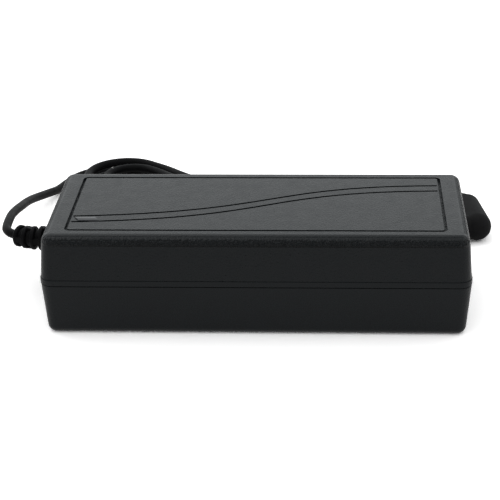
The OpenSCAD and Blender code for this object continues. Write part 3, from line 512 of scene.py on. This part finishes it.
def add_cord(points, with_pieces):
    curve = bpy.data.curves.new("cord", "CURVE")
    curve.dimensions = "3D"
    curve.bevel_depth = CORD_R * MM
    curve.bevel_resolution = CORD_ROUNDNESS
    curve.use_fill_caps = True
    spline = curve.splines.new("POLY")
    spline.points.add(len(points) - 1)
    for target, point in zip(spline.points, points):
        target.co = (*(point * MM), 1)
    spline.use_smooth = True
    cord = link("cord", curve)
    set_on_body(cord, "cord_jacket", "dc_cord_lead", "dc_cord_hank", "dc_cord_tail")


add_cord(cord_points(), [finished(node, edge_mm) for node, edge_mm in CORD_PIECES.items()])
for case_node, case_edge_mm in CASE_PIECES.items():
    finished(case_node, case_edge_mm)

# ---- Floor ----

FLOOR_HALF = 4.0
FLOOR_CORNERS = ((-1, -1), (1, -1), (1, 1), (-1, 1))
FLOOR_GREY = 0.5
SEEN_GREYS = (0.55, 0.95)
MIRRORED_GLOW = 0.28


def grey_paper(tree, grey):
    return add_node(tree, "ShaderNodeBsdfDiffuse", Color=(grey, grey, grey, 1)).outputs[0]


def floor_paper():
    """Paper that the camera sees as bright white, with the object's shadow. It glows a little in gloss."""
    material = bpy.data.materials.new("floor_paper")
    material.use_nodes = True
    tree = material.node_tree
    tree.nodes.clear()
    seen = added_shaders(tree, *(grey_paper(tree, grey) for grey in SEEN_GREYS))
    glow = add_node(tree, "ShaderNodeEmission", Color=(*WHITE, 1))
    tree.links.new(ramp(tree, ray(tree, "Is Glossy Ray"), 0.0, MIRRORED_GLOW), glow.inputs["Strength"])
    mirrored = added_shaders(tree, glow.outputs[0], grey_paper(tree, FLOOR_GREY))
    out = tree.nodes.new("ShaderNodeOutputMaterial")
    tree.links.new(chosen_shader(tree, ray(tree, "Is Camera Ray"), mirrored, seen), out.inputs["Surface"])
    return material


def add_floor():
    mesh = bpy.data.meshes.new("floor")
    mesh.from_pydata([(x * FLOOR_HALF, y * FLOOR_HALF, 0) for x, y in FLOOR_CORNERS], [], [(0, 1, 2, 3)])
    mesh.materials.append(floor_paper())
    link("floor", mesh)


# ---- World and lamps ----

MIRRORED_TINT = (0.95, 0.985, 1.0)
ROOM_STRENGTH = 0.12
CEILING_STRENGTH = 0.55

# How far back, and how far up, a direction points where the dim room fades into the backdrop and the ceiling
BACKDROP_FADE = (-0.2, 0.25)
CEILING_FADE = (0.35, 0.75)


def seen_by_eye(tree):
    """1 for what the camera sees, straight or in a reflection or through glass."""
    seen = combined(tree, "MAXIMUM", ray(tree, "Is Camera Ray"), ray(tree, "Is Glossy Ray"))
    return combined(tree, "MAXIMUM", seen, ray(tree, "Is Transmission Ray"))


def add_world():
    """Even white light. Reflections show a backdrop, a ceiling, and a dim room in front of the object."""
    world = bpy.data.worlds.new("studio")
    SCENE.world = world
    world.use_nodes = True
    tree = world.node_tree
    tree.nodes.clear()
    light = add_node(tree, "ShaderNodeBackground", Color=(*WHITE, 1), Strength=1.0)
    backdrop = tree.nodes.new("ShaderNodeBackground")
    straight = ray(tree, "Is Camera Ray")
    tree.links.new(mixed_colours(tree, straight, MIRRORED_TINT, WHITE), backdrop.inputs["Color"])
    behind = ramp(tree, coordinate(tree, "Generated", "Y"), 0, 1, *BACKDROP_FADE)
    above = ramp(tree, coordinate(tree, "Generated", "Z"), 0, CEILING_STRENGTH, *CEILING_FADE)
    bright = combined(tree, "MAXIMUM", straight, combined(tree, "MAXIMUM", behind, above))
    tree.links.new(ramp(tree, bright, ROOM_STRENGTH, 1.0), backdrop.inputs["Strength"])
    out = tree.nodes.new("ShaderNodeOutputWorld")
    studio = chosen_shader(tree, seen_by_eye(tree), light.outputs[0], backdrop.outputs[0])
    tree.links.new(studio, out.inputs["Surface"])


def add_softbox(name, centre, size, energy):
    """A square lamp that faces the middle of the case's base."""
    data = bpy.data.lights.new(name, "AREA")
    data.shape = "SQUARE"
    data.size = size
    data.energy = energy
    lamp = link(name, data)
    lamp.location = centre
    lamp.rotation_euler = (-Vector(centre)).to_track_quat("-Z", "Y").to_euler()


add_floor()
add_world()
add_softbox("softbox_back_left", centre=(-0.5, 0.45, 1.0), size=0.9, energy=1.5)
add_softbox("softbox_front", centre=(0.2, -0.9, 1.1), size=0.8, energy=0.6)

SCENE.view_settings.view_transform = "Standard"
